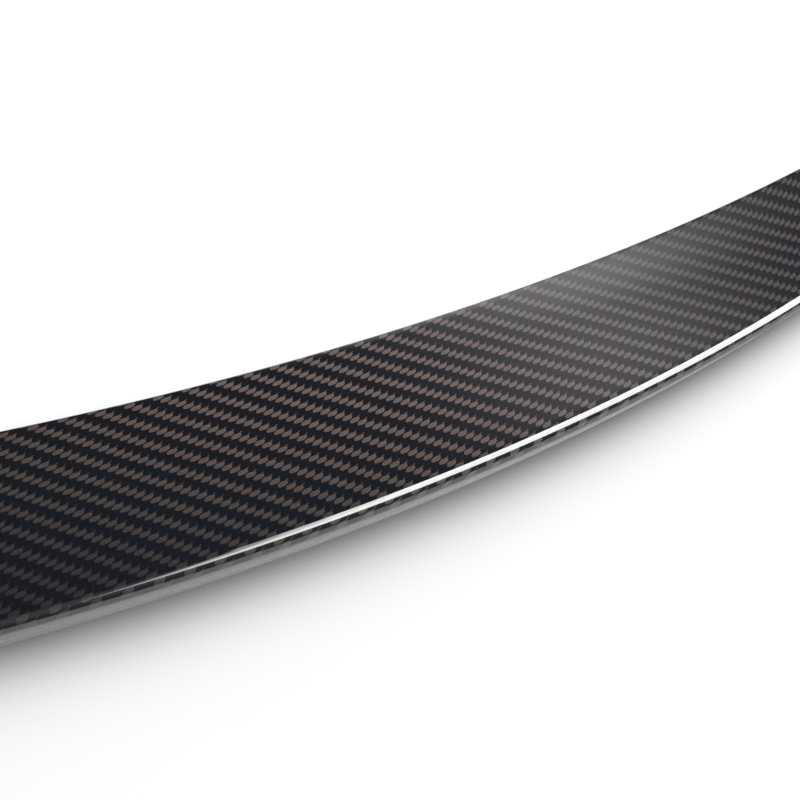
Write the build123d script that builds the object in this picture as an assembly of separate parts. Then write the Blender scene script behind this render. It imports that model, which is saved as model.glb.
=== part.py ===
from build123d import *
import os
from math import acos, asin, atan2, cos, hypot, radians, sin, sqrt, tan

# Sizes in plan, millimetres and degrees
trailing_edge_span = 1240.0
middle_radius = 1400.0
middle_half_width = 300.0
shoulder_radius = 740.0
middle_chord = 94.0
tip_chord = 41.0
tip_length = 34.0
tip_blunt_width = 11.0

# Sizes across the section
middle_height = 18.0
tip_height = 9.0
tip_end_height = 4.6
nose_radius = 2.0
undercut_angle = 54.0
front_edge_radius = 1.5
wall = 2.2
rear_land = 10.0
front_land = 13.0
inner_corner_radius = 1.0
foot_round = 0.6

# The trailing edge in plan is a flat middle arc and two tighter shoulder arcs
shoulder_start_turn = asin(middle_half_width / middle_radius)
tip_turn = asin(sin(shoulder_start_turn) + (trailing_edge_span / 2 - middle_half_width) / shoulder_radius)
middle_length = middle_radius * shoulder_start_turn
half_length = middle_length + shoulder_radius * (tip_turn - shoulder_start_turn)
tip_start = half_length - tip_length
trim_depth = 0.05
hollow_reach = 3.0


def edge_plane(along):
    # Section plane square to the trailing edge: local X runs forward, local Y runs up
    side = 1 if along >= 0 else -1
    inner = min(abs(along), middle_length) / middle_radius
    outer = max(abs(along) - middle_length, 0) / shoulder_radius
    turn = inner + outer
    x = middle_radius * sin(inner)
    y = middle_radius * (1 - cos(inner))
    if outer > 0:
        x += shoulder_radius * (sin(turn) - sin(shoulder_start_turn))
        y += shoulder_radius * (cos(shoulder_start_turn) - cos(turn))
    return Plane(
        origin=(side * x, y, 0),
        x_dir=(-side * sin(turn), cos(turn), 0),
        z_dir=(cos(turn), side * sin(turn), 0),
    )


def tapered(middle, tip, along):
    # A size that falls with the square of the distance from the middle
    return middle - (middle - tip) * (along / half_length) ** 2


def skin_line(start, chord, height):
    # The straight top of the section touches the nose circle and the front edge circle
    nose = (start + nose_radius, height - nose_radius)
    front = (start + chord - front_edge_radius, front_edge_radius)
    run = front[0] - nose[0]
    drop = front[1] - nose[1]
    lean = atan2(drop, run) + acos((nose_radius - front_edge_radius) / hypot(run, drop))
    return nose, front, lean


def on_circle(centre, radius, angle):
    return (centre[0] + radius * cos(angle), centre[1] + radius * sin(angle))


def outer_section(along, start, chord, height):
    # Round nose at the back, undercut below it, thin round edge in front
    nose, front, lean = skin_line(start, chord, height)
    low = radians(270 - undercut_angle)
    nose_low = on_circle(nose, nose_radius, low)
    eased = on_circle(nose, nose_radius - foot_round, low)
    foot_height = foot_round - trim_depth
    foot = (eased[0] + (eased[1] - foot_height) / tan(radians(undercut_angle)), foot_height)
    foot_end = on_circle(foot, foot_round, radians(270))
    toe = (start + chord, -trim_depth)
    edges = [
        Line(on_circle(front, front_edge_radius, lean), on_circle(nose, nose_radius, lean)),
        ThreePointArc(
            on_circle(nose, nose_radius, lean),
            on_circle(nose, nose_radius, (lean + low) / 2),
            nose_low,
        ),
        Line(nose_low, on_circle(foot, foot_round, low)),
        ThreePointArc(
            on_circle(foot, foot_round, low),
            on_circle(foot, foot_round, (low + radians(270)) / 2),
            foot_end,
        ),
        Line(foot_end, toe),
        Line(toe, on_circle(front, front_edge_radius, 0)),
        ThreePointArc(
            on_circle(front, front_edge_radius, 0),
            on_circle(front, front_edge_radius, lean / 2),
            on_circle(front, front_edge_radius, lean),
        ),
    ]
    return edge_plane(along) * make_face(edges)


def hollow_section(along, chord, height):
    # The hollow keeps one wall thickness to the skin and leaves a land at each side
    nose, front, lean = skin_line(0, chord, height)
    under = radians(undercut_angle)
    top_point = on_circle(nose, nose_radius - wall, lean)
    top_slope = -cos(lean) / sin(lean)
    rear_point = on_circle(nose, nose_radius - wall, radians(270) - under)
    rear_at_land = rear_point[0] + (rear_point[1] - wall) / tan(under)
    corner_x = rear_point[1] + rear_point[0] * tan(under) - top_point[1] + top_point[0] * top_slope
    corner_x /= tan(under) + top_slope
    foot_x = nose[0] - nose_radius * sin(under) + (nose[1] - nose_radius * cos(under)) / tan(under)
    front_x = chord - front_land
    outline = FilletPolyline(
        (foot_x + rear_land, -hollow_reach),
        (foot_x + rear_land, wall),
        (rear_at_land, wall),
        (corner_x, top_point[1] + top_slope * (corner_x - top_point[0])),
        (front_x, top_point[1] + top_slope * (front_x - top_point[0])),
        (front_x, -hollow_reach),
        radius=inner_corner_radius,
        close=True,
    )
    return edge_plane(along) * make_face(outline)


def main_sizes(along):
    return tapered(middle_chord, tip_chord, along), tapered(middle_height, tip_height, along)


def tip_section(side, part_way):
    # Over the tip length the section closes in like a quarter ellipse
    along = side * (tip_start + tip_length * part_way)
    chord, height = main_sizes(along)
    closing = 1 - sqrt(1 - part_way**2)
    tip_chord_here = chord - (tip_chord - tip_blunt_width) * closing
    tip_height_here = height - (tip_height - tip_end_height) * closing
    return outer_section(along, (chord - tip_chord_here) / 2, tip_chord_here, tip_height_here)


# Solid outer form: one long loft and a closing loft at each tip
station_count = 17
stations = [tip_start * (2 * i / (station_count - 1) - 1) for i in range(station_count)]
outer_form = loft([outer_section(s, 0, *main_sizes(s)) for s in stations])
tip_steps = [sin(radians(90 * i / 8)) for i in range(9)]
for side in (-1, 1):
    outer_form += loft([tip_section(side, step) for step in tip_steps])

# Hollow underside, open downwards between the two bonding lands
hollow = loft([hollow_section(s, *main_sizes(s)) for s in stations])
moulding = outer_form - hollow

# The base is trimmed to a true flat bonding face
moulding = split(moulding, Plane.XY, keep=Keep.TOP)

# Origin under the middle of the bounding box
centre = moulding.bounding_box().center()
moulding = Pos(-centre.X, -centre.Y, 0) * moulding

os.makedirs("parts", exist_ok=True)
export_step(moulding, "parts/spoiler_moulding.step")
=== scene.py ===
import bpy
import bmesh
import numpy as np
from math import radians
from mathutils import Matrix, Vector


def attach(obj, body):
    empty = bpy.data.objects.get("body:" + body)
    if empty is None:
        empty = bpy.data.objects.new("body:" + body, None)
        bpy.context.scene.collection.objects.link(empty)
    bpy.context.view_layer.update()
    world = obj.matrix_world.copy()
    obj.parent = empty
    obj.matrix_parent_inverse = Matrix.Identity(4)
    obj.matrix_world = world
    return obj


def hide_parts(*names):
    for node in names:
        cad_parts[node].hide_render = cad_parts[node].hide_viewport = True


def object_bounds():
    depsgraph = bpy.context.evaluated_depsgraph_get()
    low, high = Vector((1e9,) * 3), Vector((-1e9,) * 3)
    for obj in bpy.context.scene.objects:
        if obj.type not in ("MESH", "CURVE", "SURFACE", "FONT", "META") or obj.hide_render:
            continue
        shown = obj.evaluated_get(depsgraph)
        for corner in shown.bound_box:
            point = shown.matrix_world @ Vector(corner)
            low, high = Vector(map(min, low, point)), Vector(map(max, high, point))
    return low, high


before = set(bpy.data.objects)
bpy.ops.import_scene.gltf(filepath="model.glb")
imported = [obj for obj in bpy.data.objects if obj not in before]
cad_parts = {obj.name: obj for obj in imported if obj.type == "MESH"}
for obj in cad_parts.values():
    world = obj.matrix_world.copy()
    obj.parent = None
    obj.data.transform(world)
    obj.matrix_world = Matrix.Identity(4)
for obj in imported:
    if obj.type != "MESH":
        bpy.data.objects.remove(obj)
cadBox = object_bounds()
print("frame loaded:", list(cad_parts))

# sizes of the moulding, millimetres and degrees, the same as in the solids
moulding = {
    "edgeSpan": 1240.0,
    "middleRadius": 1400.0,
    "middleHalfWidth": 300.0,
    "shoulderRadius": 740.0,
    "middleChord": 94.0,
    "tipChord": 41.0,
    "tipLength": 34.0,
    "tipBluntWidth": 11.0,
    "middleHeight": 18.0,
    "tipHeight": 9.0,
    "tipEndHeight": 4.6,
    "noseRadius": 2.0,
    "undercutAngle": 54.0,
    "frontEdgeRadius": 1.5,
    "wall": 2.2,
    "rearLand": 10.0,
    "frontLand": 13.0,
    "innerCornerRadius": 1.0,
    "footRound": 0.6,
    "crownAngle": 105.0,  # line on the nose that the weave is counted from
    "stations": 360,  # steps along the span between the two tips
    "tipStations": 14,
    "toeSteps": 2,
    "frontPoints": 8,
    "topSteps": 26,
    "nosePoints": 18,
    "rearSteps": 7,
    "footPoints": 6,
    "cornerPoints": 6,
    "weldDistance": 2e-6,  # metres
    "sharpAngle": 32.0,
}

# how the cloth lies on the mould
cloth = {
    "towPitchAlong": 1.962,  # millimetres between crosswise tows, measured along the edge
    "towPitchAcross": 1.983,  # millimetres between lengthwise tows
    "lean": 1.3,  # how fast the crosswise tows lean over as the edge turns
    "startAlong": -190.83,  # tow count at the middle of the span
    "startAcross": -20.67,  # tow count on the crown, before the drift
    "rowDrift": (0.748, 1.363),  # rows wander off the edge line, per 100 mm and its square
    "rowFan": 0.0263,  # and spread a little
    "driftCentre": 420.0,  # millimetres along the edge
    "driftStep": 100.0,
    "driftReach": (-1.3, 1.7),  # in steps, the drift is held beyond these
}

mmPerMetre = 1000


# half of the trailing edge is two arcs: the turn where they meet is the arc sine of width over radius,
# and each arc is as long as its radius times its turn
def edgeArcs(sizes):
    meetTurn = np.arcsin(sizes["middleHalfWidth"] / sizes["middleRadius"])
    outerWidth = sizes["edgeSpan"] / 2 - sizes["middleHalfWidth"]
    tipTurn = np.arcsin(np.sin(meetTurn) + outerWidth / sizes["shoulderRadius"])
    middleLength = sizes["middleRadius"] * meetTurn
    halfLength = middleLength + sizes["shoulderRadius"] * (tipTurn - meetTurn)
    return meetTurn, middleLength, halfLength


# plan of the trailing edge: a flat middle arc, then a tighter arc at each shoulder;
# X is the radius times the gain in sine of the turn, Y the radius times the loss in cosine
def edgeLine(along, sizes):
    meetTurn, middleLength, _ = edgeArcs(sizes)
    flat, tight = sizes["middleRadius"], sizes["shoulderRadius"]
    inner = np.minimum(np.abs(along), middleLength) / flat
    outer = np.maximum(np.abs(along) - middleLength, 0) / tight
    x = flat * np.sin(inner) + tight * (np.sin(meetTurn + outer) - np.sin(meetTurn))
    y = flat * (1 - np.cos(inner)) + tight * (np.cos(meetTurn) - np.cos(meetTurn + outer))
    side = np.where(along < 0, -1.0, 1.0)
    return side * x, y, side * (inner + outer)


# chord and height fall with the square of the distance from the middle,
# and over the tip length they close in like a quarter ellipse
def sectionSizes(along, sizes):
    _, _, halfLength = edgeArcs(sizes)
    part = (along / halfLength) ** 2
    chord = sizes["middleChord"] - (sizes["middleChord"] - sizes["tipChord"]) * part
    height = sizes["middleHeight"] - (sizes["middleHeight"] - sizes["tipHeight"]) * part
    into = np.clip((np.abs(along) - halfLength + sizes["tipLength"]) / sizes["tipLength"], 0, 1)
    closing = 1 - np.sqrt(1 - into**2)
    less = (sizes["tipChord"] - sizes["tipBluntWidth"]) * closing
    return less / 2, chord - less, height - (sizes["tipHeight"] - sizes["tipEndHeight"]) * closing


# circle point for arrays of stations: centre plus radius times the direction
def onCircle(centre, radius, angle):
    return np.stack([centre[..., 0] + radius * np.cos(angle), centre[..., 1] + radius * np.sin(angle)], -1)


# arc at each station: even steps of angle from the first to the last
def arcPoints(centre, radius, first, last, count):
    share = np.linspace(0, 1, count)[None, :]
    return onCircle(centre[:, None, :], radius, first[:, None] + (last - first)[:, None] * share)


# straight stretch at each station: even steps from a towards b, which the next stretch starts with
def between(a, b, count):
    share = np.linspace(0, 1, count + 1)[:-1]
    return a[:, None, :] + (b - a)[:, None, :] * share[None, :, None]


# outer skin of the section from the front toe over the top and the nose to the foot;
# the top is the line that touches the front circle and the nose circle
def skinProfile(start, chord, height, sizes):
    noseRadius, frontRadius, footRadius = sizes["noseRadius"], sizes["frontEdgeRadius"], sizes["footRound"]
    undercut = np.radians(sizes["undercutAngle"])
    nose = np.stack([start + noseRadius, height - noseRadius], -1)
    front = np.stack([start + chord - frontRadius, np.full_like(chord, frontRadius)], -1)
    run = front - nose
    lean = np.arctan2(run[:, 1], run[:, 0])
    lean = lean + np.arccos((noseRadius - frontRadius) / np.hypot(run[:, 0], run[:, 1]))
    level = np.zeros_like(lean)
    down = level + np.radians(270)
    low = down - undercut
    eased = onCircle(nose, noseRadius - footRadius, low)
    footX = eased[:, 0] + (eased[:, 1] - footRadius) / np.tan(undercut)
    foot = np.stack([footX, np.full_like(footX, footRadius)], -1)
    toe = np.stack([start + chord, level], -1)
    frontArc = arcPoints(front, frontRadius, level, lean, sizes["frontPoints"])
    noseArc = arcPoints(nose, noseRadius, lean, low, sizes["nosePoints"])
    footArc = arcPoints(foot, footRadius, low, down, sizes["footPoints"])
    parts = [
        between(toe, frontArc[:, 0], sizes["toeSteps"]),
        frontArc[:, :-1],
        between(frontArc[:, -1], noseArc[:, 0], sizes["topSteps"]),
        noseArc[:, :-1],
        between(noseArc[:, -1], footArc[:, 0], sizes["rearSteps"]),
        footArc,
    ]
    crown = onCircle(nose, noseRadius, np.radians(sizes["crownAngle"]))
    return np.concatenate(parts, 1), crown, nose, lean


# arc that touches both legs of a corner: its centre is on the line that halves the corner
def roundCorner(before, here, after, radius, count):
    a = (before - here) / np.linalg.norm(before - here, axis=1, keepdims=True)
    b = (after - here) / np.linalg.norm(after - here, axis=1, keepdims=True)
    half = np.arccos(np.clip((a * b).sum(1), -1, 1)) / 2
    middle = (a + b) / np.linalg.norm(a + b, axis=1, keepdims=True)
    centre = here + middle * (radius / np.sin(half))[:, None]
    first = here + a * (radius / np.tan(half))[:, None] - centre
    last = here + b * (radius / np.tan(half))[:, None] - centre
    share = np.linspace(0, 1, count)[None, :, None]
    bow = first[:, None, :] * (1 - share) + last[:, None, :] * share
    return centre[:, None, :] + radius * bow / np.linalg.norm(bow, axis=2, keepdims=True)


# the hollow keeps one wall to the skin: its top and back are the skin's lines moved in by the wall,
# they meet at the rear corner, and every corner is rounded
def hollowProfile(nose, lean, chord, sizes):
    noseRadius, wall, undercut = sizes["noseRadius"], sizes["wall"], np.radians(sizes["undercutAngle"])
    steep = np.tan(undercut)
    top = onCircle(nose, noseRadius - wall, lean)
    slope = -np.cos(lean) / np.sin(lean)
    rear = onCircle(nose, noseRadius - wall, np.radians(270) - undercut)
    rearX = rear[:, 0] + (rear[:, 1] - wall) / steep
    cornerX = (rear[:, 1] + rear[:, 0] * steep - top[:, 1] + top[:, 0] * slope) / (steep + slope)
    footX = nose[:, 0] - noseRadius * np.sin(undercut) + (nose[:, 1] - noseRadius * np.cos(undercut)) / steep
    landX = footX + sizes["rearLand"]
    frontX = chord - sizes["frontLand"]
    base = np.zeros_like(chord)
    corners = [
        np.stack([landX, base], -1),
        np.stack([landX, base + wall], -1),
        np.stack([rearX, base + wall], -1),
        np.stack([cornerX, top[:, 1] + slope * (cornerX - top[:, 0])], -1),
        np.stack([frontX, top[:, 1] + slope * (frontX - top[:, 0])], -1),
        np.stack([frontX, base], -1),
    ]
    parts = [corners[0][:, None, :]]
    for before, here, after in zip(corners[:-2], corners[1:-1], corners[2:]):
        parts.append(roundCorner(before, here, after, sizes["innerCornerRadius"], sizes["cornerPoints"]))
    parts.append(corners[-1][:, None, :])
    return np.concatenate(parts, 1)


# section points to space: forward along the plan normal of the edge, up along Z, in metres
def toSpace(along, section, sizes, shiftY):
    x, y, turn = edgeLine(along, sizes)
    forward = section[..., 0]
    spaceX = x[:, None] - forward * np.sin(turn)[:, None]
    spaceY = y[:, None] + forward * np.cos(turn)[:, None] + shiftY
    return np.stack([spaceX, spaceY, section[..., 1]], -1) / mmPerMetre


# length of skin from the first point of each section: the sum of the steps before a point
def skinLength(section):
    step = np.linalg.norm(np.diff(section, axis=1), axis=2)
    return np.concatenate([np.zeros((len(section), 1)), np.cumsum(step, 1)], 1)


# weave coordinates: counted along the edge and across it, in tows;
# the crosswise tows lean with the turn of the edge, the lengthwise ones drift off it slowly
def weaveAt(along, section, crownLength, sizes, lay):
    across = crownLength[:, None] - skinLength(section)
    turn = edgeLine(along, sizes)[2]
    lengthwise = along[:, None] - across * np.tan(lay["lean"] * turn)[:, None]
    drift = np.clip((along - lay["driftCentre"]) / lay["driftStep"], *lay["driftReach"])[:, None]
    rows = across * (1 / lay["towPitchAcross"] + lay["rowFan"] * drift)
    rows = rows + lay["rowDrift"][0] * drift + lay["rowDrift"][1] * drift**2
    tows = np.stack([lengthwise / lay["towPitchAlong"] + lay["startAlong"], rows + lay["startAcross"]], -1)
    return tows, np.stack([along[:, None] + 0 * across, across], -1)


# corner numbers of the quads of a grid: each point, the next, and the same two one row on
def gridFaces(rows, cols, first):
    i, j = np.meshgrid(np.arange(rows - 1), np.arange(cols - 1), indexing="ij")
    a = (first + i * cols + j).ravel()
    return np.stack([a, a + 1, a + cols + 1, a + cols], 1)


# sections stand at even steps along the span and crowd towards each tip by the sine of even angles
def stationPlaces(sizes):
    tipStart = edgeArcs(sizes)[2] - sizes["tipLength"]
    main = np.linspace(-tipStart, tipStart, sizes["stations"] + 1)
    angles = np.radians(np.linspace(0, 90, sizes["tipStations"] + 1))[1:]
    tip = tipStart + sizes["tipLength"] * np.sin(angles)
    return np.concatenate([-tip[::-1], main, tip]), tipStart


# joins what meets and turns every face outwards
def weldMesh(mesh, sizes):
    welded = bmesh.new()
    welded.from_mesh(mesh)
    bmesh.ops.remove_doubles(welded, verts=welded.verts, dist=sizes["weldDistance"])
    bmesh.ops.recalc_face_normals(welded, faces=welded.faces)
    welded.to_mesh(mesh)
    welded.free()
    mesh.shade_smooth()
    mesh.set_sharp_from_angle(angle=np.radians(sizes["sharpAngle"]))

    # every edge of a closed skin is used by two faces
    edgeUsed = np.empty(len(mesh.loops), dtype=np.int32)
    mesh.loops.foreach_get("edge_index", edgeUsed)
    openEdges = np.count_nonzero(np.bincount(edgeUsed, minlength=len(mesh.edges)) != 2)
    print("moulding:", len(mesh.vertices), "vertices,", len(mesh.polygons), "faces, open edges", openEdges)


def buildMoulding(sizes, lay):
    along, tipStart = stationPlaces(sizes)
    start, chord, height = sectionSizes(along, sizes)
    skin, crown, nose, lean = skinProfile(start, chord, height, sizes)

    # the middle of the mesh goes to the middle of the solid
    meshY = toSpace(along, skin, sizes, 0.0)[..., 1]
    cadMiddle = float(cadBox[0][1] + cadBox[1][1]) / 2
    shiftY = mmPerMetre * (cadMiddle - float(meshY.max() + meshY.min()) / 2)

    # skin length up to the crown of the nose, so that the weave starts there
    nearest = np.argmin(np.linalg.norm(skin - crown[:, None, :], axis=2), axis=1)
    crownLength = skinLength(skin)[np.arange(len(along)), nearest]

    verts, faces, weave, girth, finishes = [], [], [], [], []
    count = 0

    def addGrid(lines, section, crownAt, finishNumber):
        nonlocal count
        rows, cols = section.shape[:2]
        verts.append(toSpace(lines, section, sizes, shiftY).reshape(-1, 3))
        tows, place = weaveAt(lines, section, crownAt, sizes, lay)
        weave.append(tows.reshape(-1, 2))
        girth.append(place.reshape(-1, 2))
        quads = gridFaces(rows, cols, count)
        faces.append(quads)
        finishes.append(np.full(len(quads), finishNumber))
        count += rows * cols

    lacquered, bagSide = 0, 1
    addGrid(along, skin, crownLength, lacquered)

    # underside between the tips: rear land, hollow, front land
    nearly = 1e-6
    inMain = np.abs(along) <= tipStart + nearly
    lines = along[inMain]
    hollow = hollowProfile(nose[inMain], lean[inMain], chord[inMain], sizes)
    foot, toe = skin[inMain, -1:], skin[inMain, :1]
    addGrid(lines, np.concatenate([foot, hollow, toe], 1), 0 * lines, bagSide)

    # flat base under each tip, split where the lands end
    footX, toeX = foot[0, 0, 0], toe[0, 0, 0]
    landEnds = np.array([footX, hollow[0, 0, 0], hollow[0, -1, 0], toeX])
    share = ((landEnds - footX) / (toeX - footX))[None, :, None]
    for chosen in (along <= -tipStart + nearly, along >= tipStart - nearly):
        tipFoot, tipToe = skin[chosen, -1], skin[chosen, 0]
        base = tipFoot[:, None, :] + (tipToe - tipFoot)[:, None, :] * share
        addGrid(along[chosen], base, 0 * along[chosen], bagSide)

    # blunt tip ends and the end walls of the hollow are single many-sided faces
    allFaces = np.concatenate(faces).tolist()
    rows, cols = skin.shape[:2]
    underFirst, underCols = rows * cols, hollow.shape[1] + 2
    underLast = underFirst + (len(lines) - 1) * underCols
    tipBase = underLast + underCols  # the first tip's base starts at its blunt end
    allFaces.append(list(range(cols))[::-1] + [tipBase + 2, tipBase + 1])
    allFaces.append(list(range((rows - 1) * cols, rows * cols)) + [count - 3, count - 2])
    allFaces.append(list(range(underFirst + 1, underFirst + underCols - 1)))
    allFaces.append(list(range(underLast + 1, underLast + underCols - 1))[::-1])
    finishes.append(np.array([lacquered, lacquered, bagSide, bagSide]))

    mesh = bpy.data.meshes.new("spoilerMoulding")
    mesh.from_pydata(np.concatenate(verts).tolist(), [], allFaces)
    corner = np.empty(len(mesh.loops), dtype=np.int32)
    mesh.loops.foreach_get("vertex_index", corner)
    for name, values in (("weave", weave), ("girth", girth)):
        layer = mesh.uv_layers.new(name=name)
        layer.data.foreach_set("uv", np.concatenate(values)[corner].astype(np.float32).ravel())
    mesh.polygons.foreach_set("material_index", np.concatenate(finishes).astype(np.int32))
    mesh.update()
    weldMesh(mesh, sizes)
    piece = bpy.data.objects.new("spoilerMoulding", mesh)
    bpy.context.collection.objects.link(piece)
    return piece


# small helpers for node trees
def link(tree, a, b):
    tree.links.new(a, b)


def mathNode(tree, operation, a, b=None, c=None):
    node = tree.nodes.new("ShaderNodeMath")
    node.operation = operation
    for socket, value in zip(node.inputs, (a, b, c)):
        if value is None:
            continue
        if isinstance(value, (int, float)):
            socket.default_value = value
        else:
            link(tree, value, socket)
    return node.outputs[0]


def smoothStep(tree, value, reach):
    node = tree.nodes.new("ShaderNodeMapRange")
    node.interpolation_type = "SMOOTHSTEP"
    node.inputs["From Min"].default_value = reach[0]
    node.inputs["From Max"].default_value = reach[1]
    link(tree, value, node.inputs["Value"])
    return node.outputs["Result"]


def oneLess(tree, value):
    return mathNode(tree, "SUBTRACT", 1.0, value)


# size of a value over a scale, to a power
def powerOf(tree, value, scale, power):
    share = mathNode(tree, "ABSOLUTE", mathNode(tree, "DIVIDE", value, scale))
    return mathNode(tree, "POWER", share, power)


def mixColour(tree, factor, a, b):
    node = tree.nodes.new("ShaderNodeMix")
    node.data_type = "RGBA"
    link(tree, factor, node.inputs["Factor"])
    for socket, value in ((node.inputs["A"], a), (node.inputs["B"], b)):
        if isinstance(value, tuple):
            socket.default_value = value
        else:
            link(tree, value, socket)
    return node.outputs["Result"]


def splitVector(tree, vector):
    node = tree.nodes.new("ShaderNodeSeparateXYZ")
    link(tree, vector, node.inputs[0])
    return node.outputs


# one repeat of the weave, all lengths in tows
weaveForm = {
    "repeat": 4.0,  # columns until the pattern comes again
    "wanderScale": 0.09,  # hand-laid cloth wanders a little
    "wanderDetail": 1.0,
    "wander": (0.25, 0.2),  # along and across
    "floatLean": 0.25,
    "floatHalfLength": 0.755,
    "floatHalfWidth": 0.54,
    "floatPower": 2.4,  # 2 is an ellipse, more is squarer
    "floatEdge": (0.80, 1.10),
    "tailSlope": 0.635,
    "tailOffset": 0.166,
    "tailSide": (0.06, 0.14),
    "tailStart": (0.2, 0.4),
    "tailEnd": (0.82, 0.95),
    "tailTone": 0.9,
    "crossHalfWidth": 0.5,
    "crossHeight": 0.9,  # relief of the crosswise tows against the lengthwise ones
    "fibresPerTow": 4.0,
    "fibreDetail": 2.0,
}


# two-by-two twill counted in tows: X runs with the lengthwise tows, Y across them.
# A lengthwise tow lies on top for two columns, then dives under two;
# each row starts one column later, which draws the diagonal lines
def twillGroup(form):
    t = bpy.data.node_groups.new("twillWeave", "ShaderNodeTree")
    t.interface.new_socket("Tow Count", in_out="INPUT", socket_type="NodeSocketVector")
    for name in ("Lengthwise", "Relief", "Fibre"):
        t.interface.new_socket(name, in_out="OUTPUT", socket_type="NodeSocketFloat")
    source = t.nodes.new("NodeGroupInput")
    result = t.nodes.new("NodeGroupOutput")

    # tow counts plus the wander, which is noise about zero
    wander = t.nodes.new("ShaderNodeTexNoise")
    wander.inputs["Scale"].default_value = form["wanderScale"]
    wander.inputs["Detail"].default_value = form["wanderDetail"]
    link(t, source.outputs["Tow Count"], wander.inputs["Vector"])
    wanderSplit = t.nodes.new("ShaderNodeSeparateColor")
    link(t, wander.outputs["Color"], wanderSplit.inputs[0])
    counts = []
    for number, count in enumerate(splitVector(t, source.outputs["Tow Count"])[:2]):
        shift = mathNode(t, "SUBTRACT", wanderSplit.outputs[number], 0.5)
        counts.append(mathNode(t, "ADD", count, mathNode(t, "MULTIPLY", shift, form["wander"][number])))
    columns, rows = counts

    row = mathNode(t, "ROUND", rows)
    inRow = mathNode(t, "SUBTRACT", rows, row)
    step = mathNode(t, "ADD", mathNode(t, "ADD", columns, row), 1.0)
    step = mathNode(t, "FLOORED_MODULO", step, form["repeat"])
    inFloat = mathNode(t, "SUBTRACT", step, 1.0)  # 0 in the middle of the float

    # lozenge-shaped float: its ends dive under, and it leans over to the far right corner
    leaning = mathNode(t, "SUBTRACT", inFloat, mathNode(t, "MULTIPLY", inRow, form["floatLean"]))
    lengthPart = powerOf(t, leaning, form["floatHalfLength"], form["floatPower"])
    widthPart = powerOf(t, inRow, form["floatHalfWidth"], form["floatPower"])
    lozenge = mathNode(t, "ADD", lengthPart, widthPart)
    body = oneLess(t, smoothStep(t, lozenge, form["floatEdge"]))

    # thin tail where the tow slips under its neighbour: it runs on over the edge of its row,
    # so its far part is drawn in the next row, one column on
    def tailAt(x, y):
        line = mathNode(t, "MULTIPLY_ADD", x, form["tailSlope"], form["tailOffset"])
        offLine = mathNode(t, "ABSOLUTE", mathNode(t, "SUBTRACT", y, line))
        side = oneLess(t, smoothStep(t, offLine, form["tailSide"]))
        end = oneLess(t, smoothStep(t, x, form["tailEnd"]))
        span = mathNode(t, "MULTIPLY", smoothStep(t, x, form["tailStart"]), end)
        return mathNode(t, "MULTIPLY", side, span)

    farTail = tailAt(mathNode(t, "SUBTRACT", inFloat, 1.0), mathNode(t, "ADD", inRow, 1.0))
    tail = mathNode(t, "MAXIMUM", tailAt(inFloat, inRow), farTail)
    lengthwise = mathNode(t, "MAXIMUM", body, mathNode(t, "MULTIPLY", tail, form["tailTone"]))

    # crosswise tows: rounded across and along the float, where both counts stay within 0.5
    column = mathNode(t, "FLOOR", columns)
    inColumn = mathNode(t, "SUBTRACT", mathNode(t, "SUBTRACT", columns, column), 0.5)
    crossStep = mathNode(t, "SUBTRACT", mathNode(t, "ADD", rows, column), 0.5)
    crossStep = mathNode(t, "FLOORED_MODULO", crossStep, form["repeat"])
    inCross = mathNode(t, "SUBTRACT", mathNode(t, "MULTIPLY", crossStep, 0.5), 0.5)
    crossRound = mathNode(t, "ADD", powerOf(t, inColumn, form["crossHalfWidth"], 2.0),
                          powerOf(t, inCross, form["crossHalfWidth"], 2.0))
    longRelief = oneLess(t, mathNode(t, "MINIMUM", lozenge, 1.0))
    crossRelief = oneLess(t, mathNode(t, "MINIMUM", crossRound, 1.0))
    relief = mathNode(t, "MAXIMUM", longRelief, mathNode(t, "MULTIPLY", crossRelief, form["crossHeight"]))

    # single fibres: noise drawn out along the tow that is on top
    def fibreNoise(alongScale, acrossScale):
        join = t.nodes.new("ShaderNodeCombineXYZ")
        link(t, mathNode(t, "MULTIPLY", columns, alongScale), join.inputs[0])
        link(t, mathNode(t, "MULTIPLY", rows, acrossScale), join.inputs[1])
        noise = t.nodes.new("ShaderNodeTexNoise")
        noise.inputs["Scale"].default_value = 1.0
        noise.inputs["Detail"].default_value = form["fibreDetail"]
        link(t, join.outputs[0], noise.inputs["Vector"])
        return noise.outputs["Fac"]

    fibre = t.nodes.new("ShaderNodeMix")
    link(t, lengthwise, fibre.inputs["Factor"])
    link(t, fibreNoise(form["fibresPerTow"], 1.0), fibre.inputs["A"])
    link(t, fibreNoise(1.0, form["fibresPerTow"]), fibre.inputs["B"])
    link(t, lengthwise, result.inputs["Lengthwise"])
    link(t, relief, result.inputs["Relief"])
    link(t, fibre.outputs["Result"], result.inputs["Fibre"])
    return t


# material with the weave laid on by its UV map
def clothMaterial(name, group):
    material = bpy.data.materials.new(name)
    material.use_nodes = True
    tree = material.node_tree
    uv = tree.nodes.new("ShaderNodeUVMap")
    uv.uv_map = "weave"
    twill = tree.nodes.new("ShaderNodeGroup")
    twill.node_tree = group
    link(tree, uv.outputs["UV"], twill.inputs["Tow Count"])
    return material, tree, tree.nodes["Principled BSDF"], twill.outputs


def addRelief(tree, shader, height, strength, depth):
    bump = tree.nodes.new("ShaderNodeBump")
    bump.inputs["Strength"].default_value = strength
    bump.inputs["Distance"].default_value = depth
    link(tree, height, bump.inputs["Height"])
    link(tree, bump.outputs[0], shader.inputs["Normal"])


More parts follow.
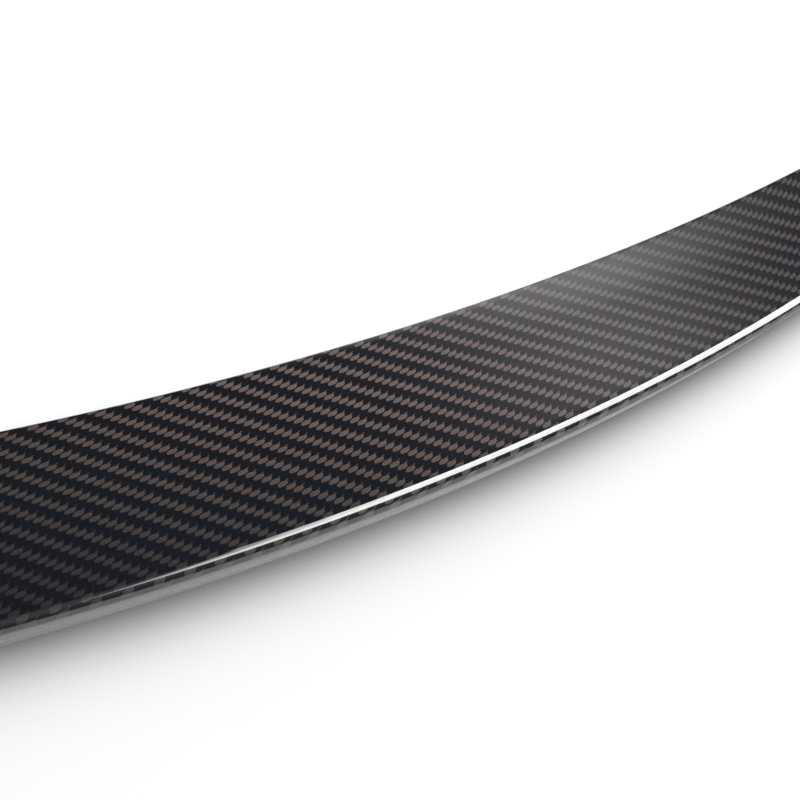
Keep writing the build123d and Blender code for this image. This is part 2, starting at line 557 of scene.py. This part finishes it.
# angles are Layer Weight's facing: 0 seen square on, 1 along the surface
finish = {
    # painted sheen: lengthwise tows are coloured much lighter than crosswise ones, standing in for the light
    # the fibres catch; both are the same dark carbon
    "lengthwiseTow": (0.098, 0.079, 0.0745, 1),
    "crosswiseTow": (0.0075, 0.0080, 0.0108, 1),
    "steepSheen": 0.4,  # how much of its painted sheen a lengthwise tow keeps seen from above
    "sheenAngles": (0.43, 0.51),
    "noseSheen": (0.0, 1.0),  # millimetres down from the crown over which the painted sheen comes back
    "middleSheen": 0.45,  # share of the painted sheen in the flat middle of the bow
    "shoulderReach": (0.24, 0.40),  # metres outward over which it grows from there
    "tipSheen": 0.45,  # share of the painted sheen towards the tips
    "tipReach": (0.42, 0.535),
    "outwardForward": 0.5,  # metres outward for each metre forward
    "rearReach": (2.0, 3.5),  # millimetres down from the crown to the undercut face
    "hidingAngles": (0.52, 0.70),  # where the weave of that face is painted out under the painted reflection
    # painted reflection: pale colour in place of the lacquer's reflection of the floor
    "paintedReflectionColour": (0.90, 0.88, 0.86, 1),
    "paintedReflectionAngles": (0.78, 0.95),
    "paintedReflectionTop": (2.8, 4.2),  # a trace of the painted reflection under the nose
    "paintedReflectionTopShare": 0.06,
    "paintedReflectionFoot": (3.5, 17.0),  # and the rest towards the foot
    "fibreContrast": 0.6,
    "roughness": 0.55,
    "fibreRoughness": 0.2,
    "reliefStrength": 0.25,
    "reliefDepth": 0.0002,
    "coatRoughness": 0.025,
    "coatIor": 1.88,
}


# clear-coated face: the weave is under a smooth lacquer, so only the lower layer has relief
def lacqueredCarbon(group, look):
    material, t, shader, twill = clothMaterial("lacqueredCarbon", group)
    angle = t.nodes.new("ShaderNodeLayerWeight")
    angle.inputs["Blend"].default_value = 0.5
    facing = angle.outputs["Facing"]
    girth = t.nodes.new("ShaderNodeUVMap")
    girth.uv_map = "girth"
    down = mathNode(t, "MULTIPLY", splitVector(t, girth.outputs["UV"])["Y"], -1.0)

    # painted sheen: the lengthwise tows' colour is made brighter at low angles and on the round of the nose,
    # and brightest on the shoulders of the bow
    low = smoothStep(t, facing, look["sheenAngles"])
    low = mathNode(t, "MAXIMUM", low, smoothStep(t, down, look["noseSheen"]))
    low = mathNode(t, "MULTIPLY_ADD", low, 1 - look["steepSheen"], look["steepSheen"])
    place = splitVector(t, t.nodes.new("ShaderNodeTexCoord").outputs["Object"])
    forward = mathNode(t, "MULTIPLY", place["Y"], look["outwardForward"])
    outward = mathNode(t, "ADD", mathNode(t, "ABSOLUTE", place["X"]), forward)
    tipFade = smoothStep(t, outward, look["tipReach"])
    tipFade = mathNode(t, "MULTIPLY_ADD", tipFade, look["tipSheen"] - 1, 1.0)
    shoulder = smoothStep(t, outward, look["shoulderReach"])
    shoulder = mathNode(t, "MULTIPLY_ADD", shoulder, 1 - look["middleSheen"], look["middleSheen"])
    paintedSheen = mathNode(t, "MULTIPLY", low, mathNode(t, "MULTIPLY", shoulder, tipFade))

    # the weave of the undercut face is painted out at low angles, where the lacquer's reflection of the
    # floor would hide it
    rear = smoothStep(t, down, look["rearReach"])
    weavePaintedOut = mathNode(t, "MULTIPLY", rear, smoothStep(t, facing, look["hidingAngles"]))
    clothShows = oneLess(t, weavePaintedOut)
    lengthwise = mathNode(t, "MULTIPLY", mathNode(t, "MULTIPLY", twill["Lengthwise"], paintedSheen), clothShows)
    fibre = mathNode(t, "MULTIPLY", mathNode(t, "SUBTRACT", twill["Fibre"], 0.5), clothShows)
    tint = t.nodes.new("ShaderNodeVectorMath")
    tint.operation = "SCALE"
    link(t, mixColour(t, lengthwise, look["crosswiseTow"], look["lengthwiseTow"]), tint.inputs[0])
    link(t, mathNode(t, "MULTIPLY_ADD", fibre, look["fibreContrast"], 1.0), tint.inputs["Scale"])

    # painted reflection: a pale colour is mixed in at grazing angles, palest along the foot, in place of the
    # lacquer's reflection of the white floor
    paintedReflectionTrace = mathNode(t, "MULTIPLY", smoothStep(t, down, look["paintedReflectionTop"]), look["paintedReflectionTopShare"])
    paintedReflection = smoothStep(t, down, look["paintedReflectionFoot"])
    paintedReflection = mathNode(t, "MULTIPLY_ADD", paintedReflection, 1 - look["paintedReflectionTopShare"], paintedReflectionTrace)
    paintedReflection = mathNode(t, "MULTIPLY", paintedReflection, smoothStep(t, facing, look["paintedReflectionAngles"]))
    link(t, mixColour(t, paintedReflection, tint.outputs[0], look["paintedReflectionColour"]), shader.inputs["Base Color"])
    roughness = mathNode(t, "MULTIPLY_ADD", fibre, look["fibreRoughness"], look["roughness"])
    link(t, roughness, shader.inputs["Roughness"])
    height = mathNode(t, "MULTIPLY", twill["Relief"], oneLess(t, rear))
    addRelief(t, shader, height, look["reliefStrength"], look["reliefDepth"])
    shader.inputs["Specular IOR Level"].default_value = 0.0
    shader.inputs["Coat Weight"].default_value = 1.0
    shader.inputs["Coat Roughness"].default_value = look["coatRoughness"]
    shader.inputs["Coat IOR"].default_value = look["coatIor"]
    return material


underside = {
    "lengthwiseTow": (0.055, 0.05, 0.047, 1),
    "crosswiseTow": (0.014, 0.014, 0.016, 1),
    "roughness": 0.45,
    "fibreRoughness": 0.25,
    "peelScale": 900.0,  # ripples of the resin, per metre
    "peelDetail": 2.0,
    "peelHeight": 0.8,
    "reliefStrength": 0.6,
    "reliefDepth": 0.0003,
}


# underside as it leaves the bag: dull resin over the same weave, with cloth texture in it
def bagSideCarbon(group, look):
    material, t, shader, twill = clothMaterial("bagSideCarbon", group)
    # painted sheen: lengthwise tows are coloured lighter than crosswise ones, standing in for the light the
    # fibres catch, as on the lacquered face
    colour = mixColour(t, twill["Lengthwise"], look["crosswiseTow"], look["lengthwiseTow"])
    link(t, colour, shader.inputs["Base Color"])
    roughness = mathNode(t, "MULTIPLY_ADD", twill["Fibre"], look["fibreRoughness"], look["roughness"])
    link(t, roughness, shader.inputs["Roughness"])
    place = t.nodes.new("ShaderNodeTexCoord")
    peel = t.nodes.new("ShaderNodeTexNoise")
    peel.inputs["Scale"].default_value = look["peelScale"]
    peel.inputs["Detail"].default_value = look["peelDetail"]
    link(t, place.outputs["Object"], peel.inputs["Vector"])
    height = mathNode(t, "MULTIPLY_ADD", peel.outputs["Fac"], look["peelHeight"], twill["Relief"])
    addRelief(t, shader, height, look["reliefStrength"], look["reliefDepth"])
    return material


spoiler = buildMoulding(moulding, cloth)
twillWeave = twillGroup(weaveForm)
spoiler.data.materials.append(lacqueredCarbon(twillWeave, finish))
spoiler.data.materials.append(bagSideCarbon(twillWeave, underside))
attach(spoiler, "root")
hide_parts("spoiler_moulding")
print("materials set")

paper = {
    "size": 9.0,
    "bounceColour": (0.76, 0.76, 0.764, 1),  # what the light bounces off
    "seenColour": (0.08, 0.08, 0.08, 1),  # share of the lamps that is seen on the white paper
    "white": 0.9,
    "shadowReach": 0.3,
    "shadowSamples": 16,
    "footShade": 0.15,  # openness at which the painted shadow makes the paper quite dark
    "shadeCurve": 0.6,
    "mirroredShade": 0.75,  # share of the painted shadow that the reflections show
    "roughness": 0.9,
    "specular": 0.1,
}


def buildFloor(look):
    corners = np.array([[-1, -1], [1, -1], [1, 1], [-1, 1]]) * look["size"] / 2
    mesh = bpy.data.meshes.new("studioFloor")
    mesh.from_pydata(np.column_stack([corners, np.full(4, cadBox[0][2])]).tolist(), [], [(0, 1, 2, 3)])
    material = bpy.data.materials.new("palePaper")
    material.use_nodes = True
    t = material.node_tree
    shader = t.nodes["Principled BSDF"]
    shader.inputs["Roughness"].default_value = look["roughness"]
    shader.inputs["Specular IOR Level"].default_value = look["specular"]
    shader.inputs["Emission Color"].default_value = (1, 1, 1, 1)

    # the eye and the reflections see the paper as a white glow with a painted shadow: an ambient-occlusion
    # shade darkens it where the object stands over it
    path = t.nodes.new("ShaderNodeLightPath").outputs
    seen = mathNode(t, "MAXIMUM", path["Is Camera Ray"], path["Is Glossy Ray"])
    seen = mathNode(t, "MAXIMUM", seen, path["Is Transmission Ray"])
    link(t, mixColour(t, seen, look["bounceColour"], look["seenColour"]), shader.inputs["Base Color"])
    openSky = t.nodes.new("ShaderNodeAmbientOcclusion")
    openSky.samples = look["shadowSamples"]
    openSky.inputs["Distance"].default_value = look["shadowReach"]
    paintedShadowTone = mathNode(t, "MAXIMUM", mathNode(t, "SUBTRACT", openSky.outputs["AO"], look["footShade"]), 0.0)
    paintedShadowTone = powerOf(t, paintedShadowTone, 1 - look["footShade"], look["shadeCurve"])
    # reflections see a lighter painted shadow, which paints the undercut face brighter
    paintedShadowMirrored = mathNode(t, "MULTIPLY_ADD", paintedShadowTone, look["mirroredShade"], 1 - look["mirroredShade"])
    paintedShadowTone = mathNode(t, "MAXIMUM", paintedShadowTone, mathNode(t, "MULTIPLY", paintedShadowMirrored, path["Is Glossy Ray"]))
    glow = mathNode(t, "MULTIPLY", mathNode(t, "MULTIPLY", seen, paintedShadowTone), look["white"])
    link(t, glow, shader.inputs["Emission Strength"])
    mesh.materials.append(material)
    floor = bpy.data.objects.new("studioFloor", mesh)
    bpy.context.collection.objects.link(floor)


lightBox = {
    "height": 0.7,
    "lefts": (0.54, 0.58, 0.62, 0.68),  # the left end of the light box fades, so it is four nested lamps
    "right": 2.3,
    "depth": (-0.16, 1.15),
    "radiance": 8.6,
    "layerGap": 0.004,
}


# light box overhead on the right, lying flat: lamps that share every edge but the left one;
# a lamp's power is its radiance times its area times pi
def buildLightBox(look):
    near, far = look["depth"]
    deep = far - near
    for number, left in enumerate(look["lefts"]):
        wide = look["right"] - left
        data = bpy.data.lights.new("lightBox%d" % number, "AREA")
        data.shape = "RECTANGLE"
        data.size = wide
        data.size_y = deep
        data.energy = look["radiance"] / len(look["lefts"]) * np.pi * wide * deep
        lamp = bpy.data.objects.new("lightBox%d" % number, data)
        lamp.location = (left + wide / 2, near + deep / 2, look["height"] + look["layerGap"] * number)
        lamp.visible_camera = False
        bpy.context.collection.objects.link(lamp)


# heights are sines of elevation, turns are degrees to the right of straight ahead
room = {
    "tone": 0.14,
    "aheadReach": (0.0, 0.6),
    "aheadDim": 0.9,  # share of the tone that is lost straight ahead
    "ceilingTone": 0.2,
    "ceilingReach": (0.6, 0.85),
    "glow": 0.32,
    "glowTurn": 17.0,
    "glowWidth": 3.4,
    "glowFoot": 0.347,  # height at which the glow has that turn
    "glowSwing": 40.0,  # further turn for each unit of height above it
    "glowBase": 1.5,
    "glowFade": (0.013, 0.093),  # heights above the foot over which the base loses 1
    "footGain": 1.4,  # extra glow below the foot
    "footFade": (-0.004, 0.013),
    "glowTop": (0.5, 0.7),
}


# dim room with a pale ceiling, darker straight ahead, and a soft glow low on the right;
# the camera itself sees white
def buildWorld(look):
    world = bpy.data.worlds.new("studioRoom")
    bpy.context.scene.world = world
    world.use_nodes = True
    t = world.node_tree
    way = splitVector(t, t.nodes.new("ShaderNodeTexCoord").outputs["Generated"])
    ahead = smoothStep(t, way["Y"], look["aheadReach"])
    dim = mathNode(t, "MULTIPLY", ahead, look["tone"] * look["aheadDim"])
    ceiling = smoothStep(t, way["Z"], look["ceilingReach"])
    tone = mathNode(t, "SUBTRACT", look["tone"], dim)
    tone = mathNode(t, "MULTIPLY_ADD", ceiling, look["ceilingTone"], tone)

    # the glow is a bell across the horizon, strongest low down, that swings right as it rises
    rise = mathNode(t, "SUBTRACT", way["Z"], look["glowFoot"])
    centre = mathNode(t, "MULTIPLY_ADD", rise, radians(look["glowSwing"]), radians(look["glowTurn"]))
    turn = mathNode(t, "ARCTAN2", way["X"], way["Y"])
    offset = mathNode(t, "DIVIDE", mathNode(t, "SUBTRACT", turn, centre), radians(look["glowWidth"]))
    bell = mathNode(t, "MULTIPLY", mathNode(t, "MULTIPLY", offset, offset), -1.0)
    bell = mathNode(t, "EXPONENT", bell)
    low = mathNode(t, "SUBTRACT", look["glowBase"], smoothStep(t, rise, look["glowFade"]))
    lowest = oneLess(t, smoothStep(t, rise, look["footFade"]))
    glow = mathNode(t, "MULTIPLY", bell, mathNode(t, "MULTIPLY_ADD", lowest, look["footGain"], low))
    glow = mathNode(t, "MULTIPLY", glow, look["glow"])
    glow = mathNode(t, "MULTIPLY", glow, oneLess(t, smoothStep(t, way["Z"], look["glowTop"])))
    tone = mathNode(t, "ADD", tone, glow)
    join = t.nodes.new("ShaderNodeCombineXYZ")
    for socket in join.inputs:
        link(t, tone, socket)
    seen = t.nodes.new("ShaderNodeLightPath").outputs["Is Camera Ray"]
    link(t, mixColour(t, seen, join.outputs[0], (1, 1, 1, 1)), t.nodes["Background"].inputs["Color"])


camera = {
    "place": (0.268582, -0.428420, 0.359115),
    "right": (0.96430, -0.25435, 0.07371),
    "up": (0.10144, 0.61189, 0.78441),
    "back": (-0.24462, -0.74893, 0.61585),
    "lens": 97.893,
    "sensor": 36.0,
    "nearest": 0.01,
    "farthest": 50.0,
}


# the columns of the camera's matrix are its right, up and back directions and its place
def buildCamera(look):
    data = bpy.data.cameras.new("photoCamera")
    data.sensor_width = look["sensor"]
    data.lens = look["lens"]
    data.clip_start = look["nearest"]
    data.clip_end = look["farthest"]
    eye = bpy.data.objects.new("photoCamera", data)
    matrix = Matrix.Identity(4)
    for number, name in enumerate(("right", "up", "back", "place")):
        matrix.col[number][:3] = look[name]
    eye.matrix_world = matrix
    bpy.context.collection.objects.link(eye)
    bpy.context.scene.camera = eye


buildFloor(paper)
buildLightBox(lightBox)
buildWorld(room)
buildCamera(camera)
bpy.context.scene.view_settings.view_transform = "Standard"
print("studio set")
